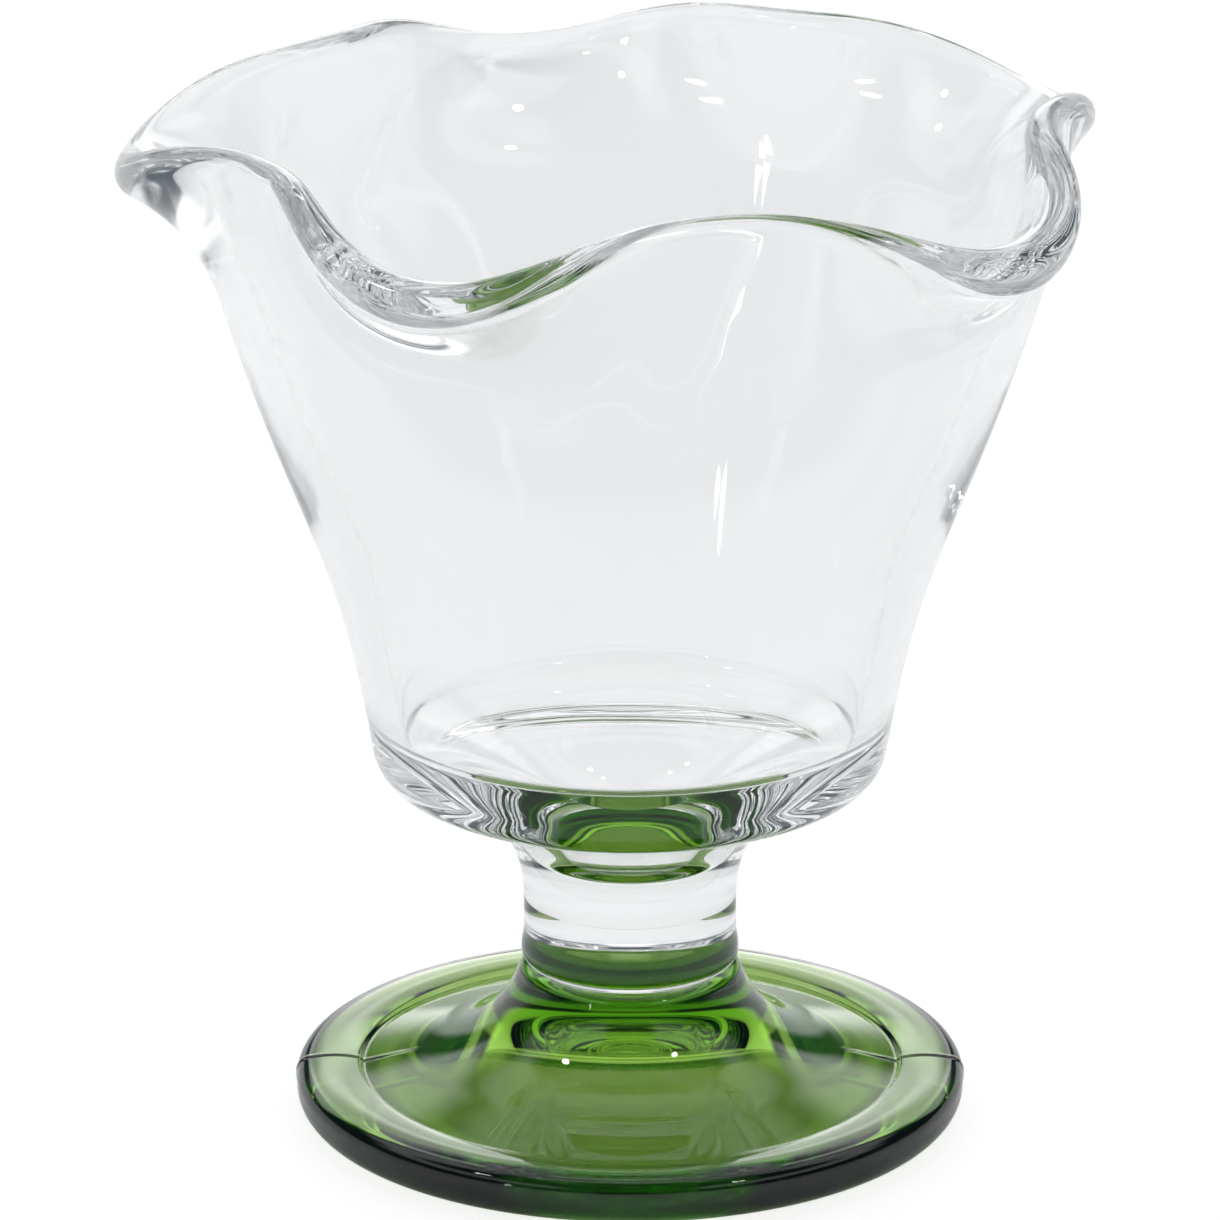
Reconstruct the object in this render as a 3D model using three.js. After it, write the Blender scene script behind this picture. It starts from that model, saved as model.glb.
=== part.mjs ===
// Sundae glass: a clear bowl with a five-lobed ruffled rim, on a short clear stem and a green foot.
// Millimetres, +Z up, with the origin at the centre of the foot's flat underside.
import * as THREE from "three";

// Foot: a disc, flat underneath, whose top rises in a cone and a cove to the joint with the stem
const footRadius = 40;
const footLowerCorner = 2.9; // radius of the edge's lower corner
const footSide = 1; // straight side between the edge's two corners
const footUpperCorner = 1.7; // radius of the edge's upper corner
const footStep = 32; // radius of the cone's lower end, inside the rim band
const stepDrop = 0.5; // depth of the step from the rim band down to the cone
const stepWidth = 0.7;
const footCrown = 0.3; // rise of the rim band between the edge and the step
const coneSlope = 14; // degrees
const footHeight = 18.2; // height of the joint with the stem
const bossRadius = 13.4; // radius beside the joint
const bossCorner = 1.4; // rounded corner there
const bossSlope = 70; // degrees, where the cove meets that corner

// Stem: a round post, a little wider at its heel
const heelRadius = 13;
const heelCorner = 1.8; // rounded corner beside the joint
const heelTaper = 2.9; // length over which the heel narrows to the post
const postRadius = 12.7;
const postLength = 3.9;

// Bowl: a thick wall on a heavy rounded base that flares out of the stem, with a funnel inside its bottom
const flareHeight = 14.55; // height of the cove between the joint with the stem and the underside
const baseRadius = 30.6;
const baseCorner = 5.3; // rounding of the base's outer edge
const baseLean = 9; // degrees that the wall leans out at the base
const basePull = 26.8; // how far up the wall keeps that lean
const rimRadius = 47.85; // outer radius where the ruffle starts
const rimLean = 17; // degrees that the wall leans out there
const rimPull = 30.9; // how far down the wall keeps that lean
const bowlHeight = 60.65; // from the underside to the start of the ruffle
const wall = 4.3;
const funnelTop = 7.7; // height above the underside at which the funnel would meet a sharp corner
const funnelCorner = 2; // rounding between the inner wall and the funnel
const funnelSlope = 22; // degrees that the funnel falls at that corner
const funnelPull = 27.5; // how far in it keeps that slope
const wellDepth = 17.2; // from funnelTop down to the bottom of the well
const wellWidth = 13; // how far out the well's bottom stays level

// Ruffle: the wall above bowlHeight turns out and down at the lobes, and stands up between them
const lobes = 5;
const firstLobe = 30.8; // degrees from +X
const lobeSpread = 1.13; // above 1 the lobes are narrower than the crests between them
const lobeReach = 17.3; // length of the wall from the start of the ruffle, along a lobe
const crestReach = 19.4; // the same, along a crest
const lobeTurn = 50.3; // degrees that the wall turns outwards over that length
const crestTurn = -21.6;
const lobeEdge = 6.1; // thickness of the fire-polished edge
const crestEdge = 4.4;

// Facets
const segments = 70; // around each piece
const cornerSteps = 4; // along a rounded corner
const coveSteps = 8; // along a cove or the funnel
const wallSteps = 8; // along the bowl's wall
const lipSteps = 5; // along the ruffle
const edgeSteps = 6; // around the rim's edge
const samePoint = 1e-4; // points closer than this are one

// Places that follow from the sizes above
const footEdge = footLowerCorner + footSide + footUpperCorner;
const heelTop = footHeight + heelCorner;
const bowlJoint = heelTop + heelTaper + postLength;
const underside = bowlJoint + flareHeight;
const cornerHeight = underside + funnelTop;
const ruffleStart = underside + bowlHeight;
const flareWidth = baseRadius - baseCorner - postRadius;
const lean = THREE.MathUtils.degToRad(rimLean);

const radians = THREE.MathUtils.degToRad;
const mix = THREE.MathUtils.lerp;
const point = (r, z) => new THREE.Vector2(r, z);
const line = (a, b) => new THREE.LineCurve(a, b);

// Elliptical arc about (r, z), from one angle to another in degrees
function arc(r, z, width, height, from, to) {
  return new THREE.EllipseCurve(r, z, width, height, radians(from), radians(to), to < from);
}

// Unit vector along a wall that leans out by an angle in radians, and the normal on its outer side
const along = (tilt) => point(Math.sin(tilt), Math.cos(tilt));
const outward = (tilt) => point(Math.cos(tilt), -Math.sin(tilt));

// The solid of revolution of an outline made of [curve, steps] stretches, from the axis round to the axis.
// The point where two stretches meet is kept once.
function revolve(stretches) {
  const traced = stretches.flatMap(([curve, steps]) => curve.getPoints(steps));
  const outline = traced.filter((p, i) => i === 0 || p.distanceTo(traced[i - 1]) > samePoint);
  return new THREE.LatheGeometry(outline, segments).rotateX(Math.PI / 2);
}

function footGeometry() {
  const band = footRadius - footUpperCorner;
  const brow = footStep + stepWidth;
  const crest = point((band + brow) / 2, footEdge + 2 * footCrown);
  const rimBand = new THREE.QuadraticBezierCurve(point(band, footEdge), crest, point(brow, footEdge));
  const coneEnd = point(footStep, footEdge - stepDrop);
  const sole = footRadius - footLowerCorner;
  const bossCentre = point(bossRadius - bossCorner, footHeight - bossCorner);
  const boss = arc(bossCentre.x, bossCentre.y, bossCorner, bossCorner, 90 - bossSlope, 90);
  // The cove is the arc that leaves the boss at its slope and runs into the cone at the cone's
  const [low, high] = [radians(coneSlope), radians(bossSlope)];
  const bossEdge = boss.getPoint(0);
  const drop = bossEdge.y - coneEnd.y - (coneEnd.x - bossEdge.x) * Math.tan(low);
  const turn = Math.cos(low) - Math.cos(high) - (Math.sin(high) - Math.sin(low)) * Math.tan(low);
  const coveRadius = drop / turn;
  const cove = arc(
    bossEdge.x + coveRadius * Math.sin(high),
    bossEdge.y + coveRadius * Math.cos(high),
    coveRadius,
    coveRadius,
    270 - coneSlope,
    270 - bossSlope,
  );
  return revolve([
    [line(point(0, 0), point(sole, 0)), 1],
    [arc(sole, footLowerCorner, footLowerCorner, footLowerCorner, -90, 0), cornerSteps],
    [arc(band, footEdge - footUpperCorner, footUpperCorner, footUpperCorner, 0, 90), cornerSteps],
    [rimBand, cornerSteps],
    [line(point(brow, footEdge), coneEnd), 1],
    [line(coneEnd, cove.getPoint(0)), 1],
    [cove, coveSteps],
    [boss, cornerSteps],
    [line(boss.getPoint(1), point(0, footHeight)), 1],
  ]);
}

function stemGeometry() {
  const heel = heelRadius - heelCorner;
  const taper = new THREE.CubicBezierCurve(
    point(heelRadius, heelTop),
    point(heelRadius, heelTop + heelTaper / 2),
    point(postRadius, heelTop + heelTaper / 2),
    point(postRadius, heelTop + heelTaper),
  );
  return revolve([
    [line(point(0, footHeight), point(heel, footHeight)), 1],
    [arc(heel, heelTop, heelCorner, heelCorner, -90, 0), cornerSteps],
    [taper, cornerSteps],
    [line(point(postRadius, heelTop + heelTaper), point(postRadius, bowlJoint)), 1],
    [line(point(postRadius, bowlJoint), point(0, bowlJoint)), 1],
  ]);
}

// Middle of the wall where the ruffle starts
const root = point(rimRadius, ruffleStart).addScaledVector(outward(lean), -wall / 2);

// Bowl with its lip still straight, as it leaves the mould
function mouldedBowl() {
  const base = radians(baseLean);
  const rise = (from, to) =>
    new THREE.CubicBezierCurve(
      from,
      from.clone().addScaledVector(along(base), basePull),
      to.clone().addScaledVector(along(lean), -rimPull),
      to,
    );
  const corner = arc(baseRadius - baseCorner, underside + baseCorner, baseCorner, baseCorner, -90, -baseLean);
  const outerRoot = root.clone().addScaledVector(outward(lean), wall / 2);
  const innerRoot = root.clone().addScaledVector(outward(lean), -wall / 2);
  const reach = along(lean).multiplyScalar(crestReach);
  const edge = root.clone().add(reach);
  // The inner wall follows the outer one from where the corner above the funnel ends
  const climb = cornerHeight + funnelCorner - (underside + baseCorner);
  const centre = point(baseRadius - wall - funnelCorner + climb * Math.tan(base), cornerHeight + funnelCorner);
  const turnIn = arc(centre.x, centre.y, funnelCorner, funnelCorner, -baseLean, funnelSlope - 90);
  const funnelEdge = turnIn.getPoint(1);
  const wellBottom = cornerHeight - wellDepth;
  const funnel = new THREE.CubicBezierCurve(
    funnelEdge,
    funnelEdge.clone().addScaledVector(along(radians(90 - funnelSlope)), -funnelPull),
    point(wellWidth, wellBottom),
    point(0, wellBottom),
  );
  const innerWall = rise(turnIn.getPoint(0), innerRoot);
  const innerRim = new THREE.CubicBezierCurve(innerWall.v3, innerWall.v2, innerWall.v1, innerWall.v0);
  return revolve([
    [line(point(0, bowlJoint), point(postRadius, bowlJoint)), 1],
    [arc(postRadius + flareWidth, bowlJoint, flareWidth, flareHeight, 180, 90), coveSteps],
    [corner, cornerSteps],
    [rise(corner.getPoint(1), outerRoot), wallSteps],
    [line(outerRoot, outerRoot.clone().add(reach)), lipSteps],
    [arc(edge.x, edge.y, wall / 2, wall / 2, -rimLean, 180 - rimLean), edgeSteps],
    [line(innerRoot.clone().add(reach), innerRoot), lipSteps],
    [innerRim, wallSteps],
    [turnIn, cornerSteps],
    [funnel, coveSteps],
  ]);
}

// Bends the straight lip. At each angle round the rim the middle of the wall follows a circular arc, whose
// turn and length go from the crest's to the lobe's, and the wall thickens towards its rounded edge.
function ruffle(geometry) {
  const position = geometry.attributes.position;
  const up = along(lean);
  const out = outward(lean);
  for (let i = 0; i < position.count; i++) {
    const angle = Math.atan2(position.getY(i), position.getX(i));
    const offset = point(Math.hypot(position.getX(i), position.getY(i)), position.getZ(i)).sub(root);
    const height = offset.dot(up);
    if (height <= 0) continue;
    const lobe = ((1 + Math.cos(lobes * (angle - radians(firstLobe)))) / 2) ** lobeSpread;
    const share = Math.min(height / crestReach, 1);
    const turn = radians(mix(crestTurn, lobeTurn, lobe)) * share;
    const swell = mix(crestEdge, lobeEdge, lobe) / wall;
    const thicken = mix(1, swell, THREE.MathUtils.smoothstep(share, 0, 1));
    const length = share * mix(crestReach, lobeReach, lobe);
    const half = turn / 2;
    const chord = half ? (length * Math.sin(half)) / half : length;
    const moved = root
      .clone()
      .addScaledVector(along(lean + half), chord)
      .addScaledVector(along(lean + turn), Math.max(height - crestReach, 0) * swell)
      .addScaledVector(outward(lean + turn), offset.dot(out) * thicken);
    position.setXYZ(i, moved.x * Math.cos(angle), moved.x * Math.sin(angle), moved.y);
  }
  geometry.computeVertexNormals();
  return geometry;
}

const clearGlass = { color: 0xf2f4f3, roughness: 0.03, metalness: 0, transparent: true, opacity: 0.35 };
const greenGlass = { color: 0x5f9a2c, roughness: 0.03, metalness: 0, transparent: true, opacity: 0.7 };

function piece(name, geometry, look) {
  const mesh = new THREE.Mesh(geometry, new THREE.MeshStandardMaterial(look));
  mesh.name = name;
  return mesh;
}

const glass = new THREE.Group();
glass.add(
  piece("bowl", ruffle(mouldedBowl()), clearGlass),
  piece("stem", stemGeometry(), clearGlass),
  piece("foot", footGeometry(), greenGlass),
);

export default glass;
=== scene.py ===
import bpy
import numpy as np
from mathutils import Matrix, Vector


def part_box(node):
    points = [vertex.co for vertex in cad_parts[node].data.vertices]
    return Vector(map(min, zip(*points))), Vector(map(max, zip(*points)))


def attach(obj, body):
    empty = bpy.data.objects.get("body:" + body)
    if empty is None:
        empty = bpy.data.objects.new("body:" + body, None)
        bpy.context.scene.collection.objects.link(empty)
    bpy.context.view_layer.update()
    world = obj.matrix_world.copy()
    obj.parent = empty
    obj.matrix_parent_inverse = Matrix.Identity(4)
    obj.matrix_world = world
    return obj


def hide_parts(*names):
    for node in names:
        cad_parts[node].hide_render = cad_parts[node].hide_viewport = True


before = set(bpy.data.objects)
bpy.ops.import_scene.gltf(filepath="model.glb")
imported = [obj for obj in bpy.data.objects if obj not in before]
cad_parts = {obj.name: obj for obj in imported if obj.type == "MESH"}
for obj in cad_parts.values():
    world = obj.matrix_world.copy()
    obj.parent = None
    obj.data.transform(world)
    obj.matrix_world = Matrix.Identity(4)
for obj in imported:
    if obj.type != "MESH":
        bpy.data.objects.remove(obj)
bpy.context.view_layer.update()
mm = 0.001
hairline = 0.01  # mm, half the gap drawn between fused faces, so that they don't coincide
sharpFrom = 35  # degrees between faces, from which an edge is drawn sharp
scene = bpy.context.scene
print("frame loaded:", sorted(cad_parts))


def linear(hexColour):
    # sRGB hex to the linear RGBA that Blender's sockets take
    srgb = np.array([int(hexColour[i:i + 2], 16) for i in (1, 3, 5)]) / 255
    low, high = srgb / 12.92, ((srgb + 0.055) / 1.055) ** 2.4
    return (*np.where(srgb <= 0.04045, low, high).tolist(), 1.0)


def addNode(tree, kind, sockets=None, **settings):
    # one node: its settings, then its inputs, each a plain value or another node's output
    node = tree.nodes.new(kind)
    for name, value in settings.items():
        setattr(node, name, value)
    for name, value in (sockets or {}).items():
        if isinstance(value, bpy.types.NodeSocket):
            tree.links.new(value, node.inputs[name])
        else:
            node.inputs[name].default_value = value
    return node


# Outlines are arrays of (radius, height) in millimetres

def straight(start, end, steps):
    # points at an even spacing from start to end
    t = np.linspace(0, 1, steps + 1)[:, None]
    return (1 - t) * np.array(start) + t * np.array(end)


def arc(centre, halfAxes, angles, steps):
    # part of an ellipse round centre, between two angles in degrees
    a = np.radians(np.linspace(*angles, steps + 1))
    return np.array(centre) + np.stack([np.cos(a), np.sin(a)], 1) * np.array(halfAxes)


def bezier(points, steps):
    # cubic curve: each control point weighed by its Bernstein polynomial
    t = np.linspace(0, 1, steps + 1)[:, None]
    weights = ((1 - t) ** 3, 3 * t * (1 - t) ** 2, 3 * t ** 2 * (1 - t), t ** 3)
    return sum(w * np.array(p) for w, p in zip(weights, points))


def outline(*stretches):
    # stretches end to end, with each meeting point kept once
    points = np.concatenate(stretches)
    far = np.linalg.norm(np.diff(points, axis=0), axis=1) > 1e-5
    return points[np.concatenate([[True], far])]


def along(lean):
    # unit vector up a wall that leans out by this angle in radians
    return np.stack([np.sin(lean), np.cos(lean)], -1)


def outward(lean):
    # unit normal on the outer side of that wall
    return np.stack([np.cos(lean), -np.sin(lean)], -1)


def evenAngles(around):
    # angles of columns at an even spacing round the axis
    return np.linspace(0, 2 * np.pi, around, endpoint=False)


def closedSurface(name, a, r, z, material, node, joints):
    # a holds the columns' angles round the axis, and r and z are grids: rows along the outline, the first
    # and the last on the axis. A point is (r cos a, r sin a, z), quads join neighbouring rows and columns,
    # and fans close the poles. joints lists the height and radius of each face fused to another piece.
    rows, around = r.shape
    points = np.stack([r * np.cos(a), r * np.sin(a), z], -1)[1:-1].reshape(-1, 3)
    poles = np.array([[0, 0, z[0, 0]], [0, 0, z[-1, 0]]])
    points = np.concatenate([points, poles]) * mm
    i = np.arange((rows - 3) * around)
    j = i - i % around + (i + 1) % around
    quads = np.stack([i, j, j + around, i + around], 1)
    first = np.arange(around)
    last = first + (rows - 3) * around
    bottom, top = len(points) - 2, len(points) - 1
    fans = np.concatenate([
        np.stack([np.full(around, bottom), (first + 1) % around, first], 1),
        np.stack([last, (last + 1 - last[0]) % around + last[0], np.full(around, top)], 1),
    ])
    corners = np.concatenate([quads.ravel(), fans.ravel()])
    sizes = np.concatenate([np.full(len(quads), 4), np.full(len(fans), 3)])
    starts = np.cumsum(sizes) - sizes
    mesh = bpy.data.meshes.new(name)
    mesh.vertices.add(len(points))
    mesh.vertices.foreach_set("co", points.ravel())
    mesh.loops.add(len(corners))
    mesh.loops.foreach_set("vertex_index", corners)
    mesh.polygons.add(len(sizes))
    mesh.polygons.foreach_set("loop_start", starts)
    mesh.polygons.foreach_set("use_smooth", np.ones(len(sizes), bool))
    mesh.update(calc_edges=True)
    # 1 on the faces of the flat joints, where the glass runs on into the next piece
    x, y, height = points[corners].T
    lowest, highest = np.minimum.reduceat(height, starts), np.maximum.reduceat(height, starts)
    reach = np.maximum.reduceat(np.hypot(x, y), starts)
    nearly = hairline * mm / 10
    fused = np.zeros(len(sizes), bool)
    for level, radius in joints:
        level, radius = level * mm, radius * mm
        fused |= (lowest > level - nearly) & (highest < level + nearly) & (reach < radius + nearly)
    mesh.attributes.new("fused", "FLOAT", "FACE").data.foreach_set("value", fused.astype(float))
    mesh.set_sharp_from_angle(angle=np.radians(sharpFrom))
    piece = bpy.data.objects.new(name, mesh)
    scene.collection.objects.link(piece)
    mesh.materials.append(material)
    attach(piece, "root")
    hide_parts(node)
    print(name, "made:", len(sizes), "faces,", int(fused.sum()), "fused")


def joinedIor(tree, ior):
    # the glass's own IOR, and 1 on the fused joints, where light goes straight on
    fused = addNode(tree, "ShaderNodeAttribute", attribute_name="fused").outputs["Fac"]
    return addNode(tree, "ShaderNodeMapRange", {"Value": fused, "To Min": ior, "To Max": 1.0}).outputs[0]


def ripples(tree, width, height):
    # faint waves that a mould and the fire leave in pressed glass
    place = addNode(tree, "ShaderNodeTexCoord").outputs["Object"]
    waves = addNode(tree, "ShaderNodeTexNoise",
                    {"Vector": place, "Scale": 1 / (width * mm), "Detail": 1.0, "Roughness": 0.4})
    bump = addNode(tree, "ShaderNodeBump",
                   {"Height": waves.outputs["Fac"], "Distance": height * mm, "Strength": 1.0})
    return bump.outputs["Normal"]


def newMaterial(name):
    material = bpy.data.materials.new(name)
    material.use_nodes = True
    material.node_tree.nodes.clear()
    return material, material.node_tree


clearLook = {"colour": "#FEFEFE", "ior": 1.52, "rippleWidth": 9, "rippleHeight": 0.02}


def clearGlass():
    # soda-lime glass, pressed and fire-polished: colourless, mirror smooth, faintly wavy
    material, tree = newMaterial("pressedClearGlass")
    glass = addNode(tree, "ShaderNodeBsdfPrincipled", {
        "Base Color": linear(clearLook["colour"]), "Roughness": 0.0, "Transmission Weight": 1.0,
        "IOR": joinedIor(tree, clearLook["ior"]),
        "Normal": ripples(tree, clearLook["rippleWidth"], clearLook["rippleHeight"])})
    addNode(tree, "ShaderNodeOutputMaterial", {"Surface": glass.outputs["BSDF"]})
    return material


greenLook = {"colour": "#FFFFFF", "ior": 1.52, "rippleWidth": 8, "rippleHeight": 0.02,
             "absorbed": "#C1E058", "perMetre": 232}


def greenGlass():
    # soda-lime glass coloured in the melt: pale where thin, deep green where light runs far inside it
    material, tree = newMaterial("pressedGreenGlass")
    glass = addNode(tree, "ShaderNodeBsdfPrincipled", {
        "Base Color": linear(greenLook["colour"]), "Roughness": 0.0, "Transmission Weight": 1.0,
        "IOR": joinedIor(tree, greenLook["ior"]),
        "Normal": ripples(tree, greenLook["rippleWidth"], greenLook["rippleHeight"])})
    depth = addNode(tree, "ShaderNodeVolumeAbsorption",
                    {"Color": linear(greenLook["absorbed"]), "Density": greenLook["perMetre"]})
    addNode(tree, "ShaderNodeOutputMaterial",
            {"Surface": glass.outputs["BSDF"], "Volume": depth.outputs["Volume"]})
    return material


clear, green = clearGlass(), greenGlass()
print("materials made")

# Heights of the joints, from the frame, in millimetres
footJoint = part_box("stem")[0].z / mm
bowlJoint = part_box("stem")[1].z / mm

stemSizes = {"heel": 13.0, "heelCorner": 1.8, "heelTaper": 2.9, "post": 12.7, "around": 256}
heelFace = stemSizes["heel"] - stemSizes["heelCorner"]  # radius of the joint with the foot

footSizes = {
    "radius": -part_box("foot")[0].y / mm, "lowerCorner": 2.9, "side": 1.0, "upperCorner": 1.7,
    "crown": 0.3, "crownPull": 2.0, "step": 32.0, "stepDrop": 0.5, "stepWidth": 0.7,
    "browPull": (0.3, 0.05), "stepPull": 0.2, "coneSlope": 14.0, "bossSlope": 70.0,
    "boss": 13.4, "bossCorner": 1.4,
    "hollow": 30.0, "hollowHeight": 11.0, "hollowCrown": 15.0, "hollowSkirt": 12.0, "skirtRise": 0.8,
    # the seams grow from the first radius and height to the second
    "seamHeight": 0.14, "seamWidth": 0.4, "seamStart": np.array([25, 0.5]), "seamFull": np.array([31, 3]),
    "seamCrowding": 0.4, "around": 256}


def makeFoot(s):
    # a hollow, a flat ring to stand on, a rounded edge, a crowned rim band, a small step down, a cone, a cove
    # and a rounded boss, spun
    sole = s["radius"] - s["lowerCorner"]
    band = s["radius"] - s["upperCorner"]
    edge = s["lowerCorner"] + s["side"] + s["upperCorner"]
    top = footJoint - hairline
    lift = edge + s["crown"] * 4 / 3  # a cubic curve rises to 3/4 of its control points' height
    foot = (s["step"], edge - s["stepDrop"])
    brow = s["step"] + s["stepWidth"]
    pull = s["crownPull"]
    browEase = np.array([brow, edge]) - s["browPull"]
    bossCentre = (s["boss"] - s["bossCorner"], top - s["bossCorner"])
    boss = arc(bossCentre, (s["bossCorner"],) * 2, (90 - s["bossSlope"], 90), 12)
    # the cove is the arc that leaves the boss at its slope and runs into the cone at the cone's
    low, high = np.radians([s["coneSlope"], s["bossSlope"]])
    drop = boss[0][1] - foot[1] - (foot[0] - boss[0][0]) * np.tan(low)
    radius = drop / (np.cos(low) - np.cos(high) - (np.sin(high) - np.sin(low)) * np.tan(low))
    coveCentre = boss[0] + radius * np.array([np.sin(high), np.cos(high)])
    cove = arc(coveCentre, (radius,) * 2, (270 - s["coneSlope"], 270 - s["bossSlope"]), 40)
    profile = outline(
        bezier([(0, s["hollowHeight"]), (s["hollowCrown"], s["hollowHeight"]),
                (s["hollow"] - s["hollowSkirt"], s["skirtRise"]), (s["hollow"], 0)], 40),
        straight((s["hollow"], 0), (sole, 0), 8),
        arc((sole, s["lowerCorner"]), (s["lowerCorner"],) * 2, (-90, 0), 16),
        arc((band, edge - s["upperCorner"]), (s["upperCorner"],) * 2, (0, 90), 12),
        bezier([(band, edge), (band - pull, lift), (brow + pull, lift), (brow, edge)], 16),
        bezier([(brow, edge), browEase, (foot[0] + s["stepPull"], foot[1]), foot], 10),
        straight(foot, cove[0], 20),
        cove,
        boss,
        straight(boss[-1], (heelFace, top), 2),
        straight((heelFace, top), (0, top), 12),
    )
    # two mould seams: ridges with a bell-shaped section that run along the x axis over the rim band and its
    # edge, along the outline's normal. The columns crowd together there.
    a = evenAngles(s["around"])
    a = a - s["seamCrowding"] * np.sin(2 * a)
    run = np.gradient(profile, axis=0)
    normal = np.stack([run[:, 1], -run[:, 0]]) / np.linalg.norm(run, axis=1)
    share = np.clip((profile - s["seamStart"]) / (s["seamFull"] - s["seamStart"]), 0, 1).prod(1)
    ridge = s["seamHeight"] * share[:, None] * np.exp(-(profile[:, :1] * np.sin(a) / s["seamWidth"]) ** 2)
    r, z = profile.T[:, :, None] + normal[:, :, None] * ridge
    closedSurface("greenFoot", a, r, z, green, "foot", [(top, heelFace)])


def makeStem(s):
    # a flat joint, a rounded heel, a taper to a straight post and another flat joint, spun
    foot, bowl = footJoint + hairline, bowlJoint - hairline
    heelTop = foot + s["heelCorner"]
    taperTop = heelTop + s["heelTaper"]
    halfWay = (heelTop + taperTop) / 2
    profile = outline(
        straight((0, foot), (heelFace, foot), 12),
        arc((heelFace, heelTop), (s["heelCorner"],) * 2, (-90, 0), 10),
        bezier([(s["heel"], heelTop), (s["heel"], halfWay), (s["post"], halfWay), (s["post"], taperTop)], 12),
        straight((s["post"], taperTop), (s["post"], bowl), 8),
        straight((s["post"], bowl), (0, bowl), 12),
    )
    r, z = np.repeat(profile[:, :, None], s["around"], 2).transpose(1, 0, 2)
    joints = [(foot, heelFace), (bowl, s["post"])]
    closedSurface("clearStem", evenAngles(s["around"]), r, z, clear, "stem", joints)


bowlSizes = {
    "flare": 14.55, "base": 30.6, "baseCorner": 5.3, "baseLean": 9.0, "basePull": 26.8,
    "rim": 47.85, "rimLean": 17.0, "rimPull": 30.9, "height": 60.65, "wall": 4.3,
    "funnelTop": 7.7, "funnelCorner": 2.0, "funnelSlope": 22.0, "funnelPull": 27.5,
    "wellDepth": 17.2, "wellWidth": 13.0,
    "lobes": 5, "firstLobe": 30.8, "lobeSpread": 1.13, "lobeReach": 17.3, "crestReach": 19.4,
    "lobeTurn": 50.3, "crestTurn": -21.6, "lobeEdge": 6.1, "crestEdge": 4.4, "around": 360}


def ruffled(profile, a, s, root, lean):
    # Above root, the middle of the wall follows a circular arc at each angle round the rim. Its length and
    # turn go from the crest's to the lobe's with the cosine of five times the angle, and its thickness too.
    lobe = ((1 + np.cos(s["lobes"] * (a - np.radians(s["firstLobe"])))) / 2) ** s["lobeSpread"]
    offset = profile - root
    height = (offset @ along(lean))[:, None]
    side = (offset @ outward(lean))[:, None]
    share = np.clip(height / s["crestReach"], 0, 1)
    turn = np.radians(s["crestTurn"] + (s["lobeTurn"] - s["crestTurn"]) * lobe) * share
    reach = share * (s["crestReach"] + (s["lobeReach"] - s["crestReach"]) * lobe)
    swell = (s["crestEdge"] + (s["lobeEdge"] - s["crestEdge"]) * lobe) / s["wall"]
    thicken = 1 + (swell - 1) * share ** 2 * (3 - 2 * share)
    beyond = np.clip(height - s["crestReach"], 0, None) * swell
    bent = root + (reach * np.sinc(turn / 2 / np.pi))[..., None] * along(lean + turn / 2)
    bent += beyond[..., None] * along(lean + turn) + (side * thicken)[..., None] * outward(lean + turn)
    return np.where(height[..., None] > 0, bent, profile[:, None]).transpose(2, 0, 1)


def makeBowl(s):
    # cove, rounded base, wall, straight lip, round edge, lip, inner wall, funnel and well, spun, with the lip
    # then ruffled
    joint = bowlJoint + hairline
    underside = bowlJoint + s["flare"]
    lean, baseLean = np.radians(s["rimLean"]), np.radians(s["baseLean"])
    outer = np.array([s["rim"], underside + s["height"]])
    root = outer - outward(lean) * s["wall"] / 2
    inner = outer - outward(lean) * s["wall"]
    reach = along(lean) * s["crestReach"]

    def wall(start, end, steps):
        pulls = start + along(baseLean) * s["basePull"], end - along(lean) * s["rimPull"]
        return bezier([start, *pulls, end], steps)

    coreRadius = s["base"] - s["baseCorner"]
    flareAxes = (coreRadius - stemSizes["post"], underside - joint)
    flare = arc((coreRadius, joint), flareAxes, (180, 90), 28)
    cornerCentre = (coreRadius, underside + s["baseCorner"])
    corner = arc(cornerCentre, (s["baseCorner"],) * 2, (-90, -s["baseLean"]), 14)
    # the inner wall turns at a tight corner into a funnel that narrows to a rounded well
    level = underside + s["funnelTop"]
    climb = level + s["funnelCorner"] - underside - s["baseCorner"]
    centre = (s["base"] - s["wall"] - s["funnelCorner"] + climb * np.tan(baseLean), level + s["funnelCorner"])
    turnIn = arc(centre, (s["funnelCorner"],) * 2, (-s["baseLean"], s["funnelSlope"] - 90), 14)
    down = turnIn[-1] - along(np.radians(90 - s["funnelSlope"])) * s["funnelPull"]
    bottom = level - s["wellDepth"]
    funnel = bezier([turnIn[-1], down, (s["wellWidth"], bottom), (0, bottom)], 36)
    profile = outline(
        straight((0, joint), flare[0], 12),
        flare,
        corner,
        wall(corner[-1], outer, 40),
        straight(outer, outer + reach, 28),
        arc(root + reach, (s["wall"] / 2,) * 2, (-s["rimLean"], 180 - s["rimLean"]), 18),
        straight(inner + reach, inner, 28),
        wall(turnIn[0], inner, 40)[::-1],
        turnIn,
        funnel,
    )
    a = evenAngles(s["around"])
    r, z = ruffled(profile, a, s, root, lean)
    closedSurface("clearBowl", a, r, z, clear, "bowl", [(joint, stemSizes["post"])])


makeFoot(footSizes)
makeStem(stemSizes)
makeBowl(bowlSizes)

table = {"size": 6.0, "drop": 0.2 * mm, "colour": "#EEEEEE", "glow": 1.1, "glowShare": 0.75}


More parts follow.
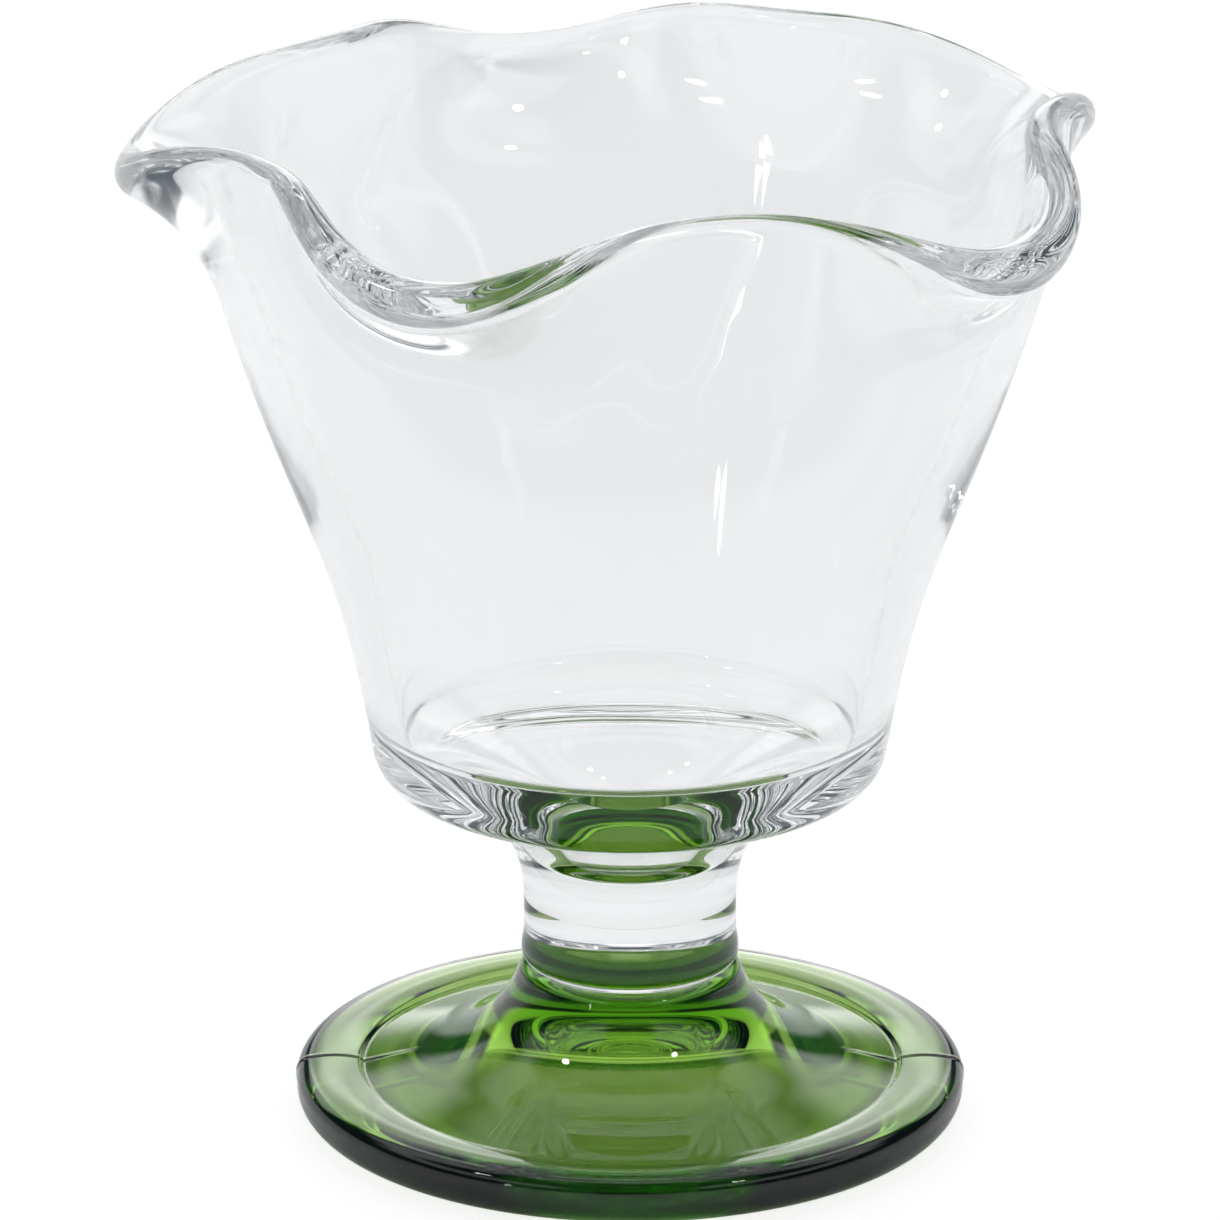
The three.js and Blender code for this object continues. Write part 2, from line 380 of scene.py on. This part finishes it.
def makeTable(s):
    # a plain pale square just under the foot. The camera sees it partly glowing, so that it runs into the
    # white background, and the rest of it keeps the shadow.
    half = s["size"] / 2
    corners = [(x * half, y * half, -s["drop"]) for x, y in ((-1, -1), (1, -1), (1, 1), (-1, 1))]
    mesh = bpy.data.meshes.new("floor")
    mesh.from_pydata(corners, [], [(0, 1, 2, 3)])
    floor = bpy.data.objects.new("floor", mesh)
    scene.collection.objects.link(floor)
    material, tree = newMaterial("paleTable")
    paint = addNode(tree, "ShaderNodeBsdfDiffuse", {"Color": linear(s["colour"])})
    glow = addNode(tree, "ShaderNodeEmission", {"Color": (1, 1, 1, 1), "Strength": s["glow"]})
    path = addNode(tree, "ShaderNodeLightPath")
    share = addNode(tree, "ShaderNodeMath", {0: path.outputs["Is Camera Ray"], 1: s["glowShare"]},
                    operation="MULTIPLY")
    both = addNode(tree, "ShaderNodeMixShader",
                   {0: share.outputs[0], 1: paint.outputs[0], 2: glow.outputs[0]})
    addNode(tree, "ShaderNodeOutputMaterial", {"Surface": both.outputs[0]})
    mesh.materials.append(material)
    print("floor made")


# Each panel of light has soft steps along the parts of the direction, up, far (away from the camera) and side
# (to either side), and for rays that the glass refracted. A step goes from the first value, where the panel is
# dark or keeps the third value's share of its light, to the second, where it is lit.
studio = {
    "dimColour": "#404B52", "mattGain": 2.6,
    "panels": {
        "wall": {"glow": 0.8, "steps": {"far": (0.4, 1.0, 0.75), "fall": (0.24, 0.14)}},
        "boxes": {"glow": 0.85, "steps": {"rise": (0.48, 0.58), "fall": (0.8, 0.7), "side": (0.26, 0.41),
                                          "far": (0.35, 0.15)}},
        "back": {"glow": 1.4, "steps": {"rise": (0.34, 0.42), "fall": (0.64, 0.54), "far": (0.6, 0.75)}},
        "window": {"glow": 1.9, "steps": {"rise": (0.06, 0.12), "fall": (0.48, 0.38), "side": (0.2, 0.1),
                                          "far": (0.0, 0.1), "refracted": (1, 0, 0.3)}},
        "loft": {"glow": 0.9, "steps": {"rise": (0.62, 0.72), "far": (0.12, 0.27)}}}}


def makeWorld(s):
    # a dim studio with a lit wall all round, brightest behind, soft boxes on each side, behind and overhead,
    # and a window behind that shows mostly as a reflection. Each panel is its glow times its steps. Matt
    # surfaces get more of the panels' light, so that the table's colour renders about as it is written, and
    # the camera sees plain white.
    world = bpy.data.worlds.new("studio")
    world.use_nodes = True
    tree = world.node_tree
    tree.nodes.clear()
    path = addNode(tree, "ShaderNodeLightPath").outputs
    place = addNode(tree, "ShaderNodeTexCoord").outputs["Generated"]
    way = addNode(tree, "ShaderNodeSeparateXYZ", {0: place}).outputs
    side = addNode(tree, "ShaderNodeMath", {0: way["X"]}, operation="ABSOLUTE").outputs[0]
    followed = {"rise": way["Z"], "fall": way["Z"], "side": side, "far": way["Y"],
                "refracted": path["Is Transmission Ray"]}
    lit = 0.0
    for panel in s["panels"].values():
        light = panel["glow"]
        for name, (dark, full, *share) in panel["steps"].items():
            step = addNode(tree, "ShaderNodeMapRange",
                           {"Value": followed[name], "From Min": dark, "From Max": full,
                            "To Min": share[0] if share else 0.0}, interpolation_type="SMOOTHSTEP")
            light = addNode(tree, "ShaderNodeMath", {0: light, 1: step.outputs[0]},
                            operation="MULTIPLY").outputs[0]
        lit = addNode(tree, "ShaderNodeMath", {0: lit, 1: light}, operation="ADD").outputs[0]
    gain = addNode(tree, "ShaderNodeMapRange",
                   {"Value": path["Diffuse Depth"], "To Min": 1.0, "To Max": s["mattGain"]}).outputs[0]
    shown = addNode(tree, "ShaderNodeVectorMath", {0: lit, 1: gain, 2: linear(s["dimColour"])[:3]},
                    operation="MULTIPLY_ADD")
    seen = addNode(tree, "ShaderNodeMix",
                   {"Factor": path["Is Camera Ray"], "A": shown.outputs[0], "B": (1, 1, 1, 1)},
                   data_type="RGBA")
    sky = addNode(tree, "ShaderNodeBackground", {"Color": seen.outputs["Result"]})
    addNode(tree, "ShaderNodeOutputWorld", {"Surface": sky.outputs[0]})
    scene.world = world
    print("world made")


# small panels that give the streaks and dots of light on the glass, in metres and watts
lamps = {"leftStrip": {"place": (-0.98, -1.13, 0.42), "size": (0.06, 0.3), "power": 0.35},
         "topLeft": {"place": (-0.7, -0.2, 1.1), "size": (0.1, 0.1), "power": 0.6},
         "topRight": {"place": (0.6, -0.5, 1.1), "size": (0.1, 0.1), "power": 0.6}}
aim = (0, 0, 0.08)  # the middle of the glass


def makeLamp(name, s):
    # an oval panel that faces the glass
    data = bpy.data.lights.new(name, "AREA")
    data.shape = "ELLIPSE"
    data.size, data.size_y = s["size"]
    data.energy = s["power"]
    lamp = bpy.data.objects.new(name, data)
    scene.collection.objects.link(lamp)
    lamp.location = s["place"]
    lamp.rotation_euler = Vector(np.subtract(aim, s["place"])).to_track_quat("-Z", "Y").to_euler()
    print("lamp made:", name)


view = {"place": (0.0, -0.9275, 0.3764), "pitchDown": 18.711, "focalPixels": 8299.5, "imagePixels": 1220,
        "axisRightOfCentre": 20}


def makeCamera(v):
    data = bpy.data.cameras.new("camera")
    data.sensor_width = 36.0
    data.lens = data.sensor_width * v["focalPixels"] / v["imagePixels"]
    data.shift_x = -v["axisRightOfCentre"] / v["imagePixels"]
    camera = bpy.data.objects.new("camera", data)
    scene.collection.objects.link(camera)
    camera.location = v["place"]
    camera.rotation_euler = (np.radians(90 - v["pitchDown"]), 0, 0)
    scene.camera = camera
    print("camera made, lens", round(data.lens, 1), "mm")


makeTable(table)
makeWorld(studio)
for name, lamp in lamps.items():
    makeLamp(name, lamp)
makeCamera(view)
scene.view_settings.view_transform = "Standard"
# light inside glass takes many turns, and each total reflection counts as a glossy one
bounces = 96
scene.cycles.max_bounces = bounces
scene.cycles.glossy_bounces = bounces
scene.cycles.transmission_bounces = bounces
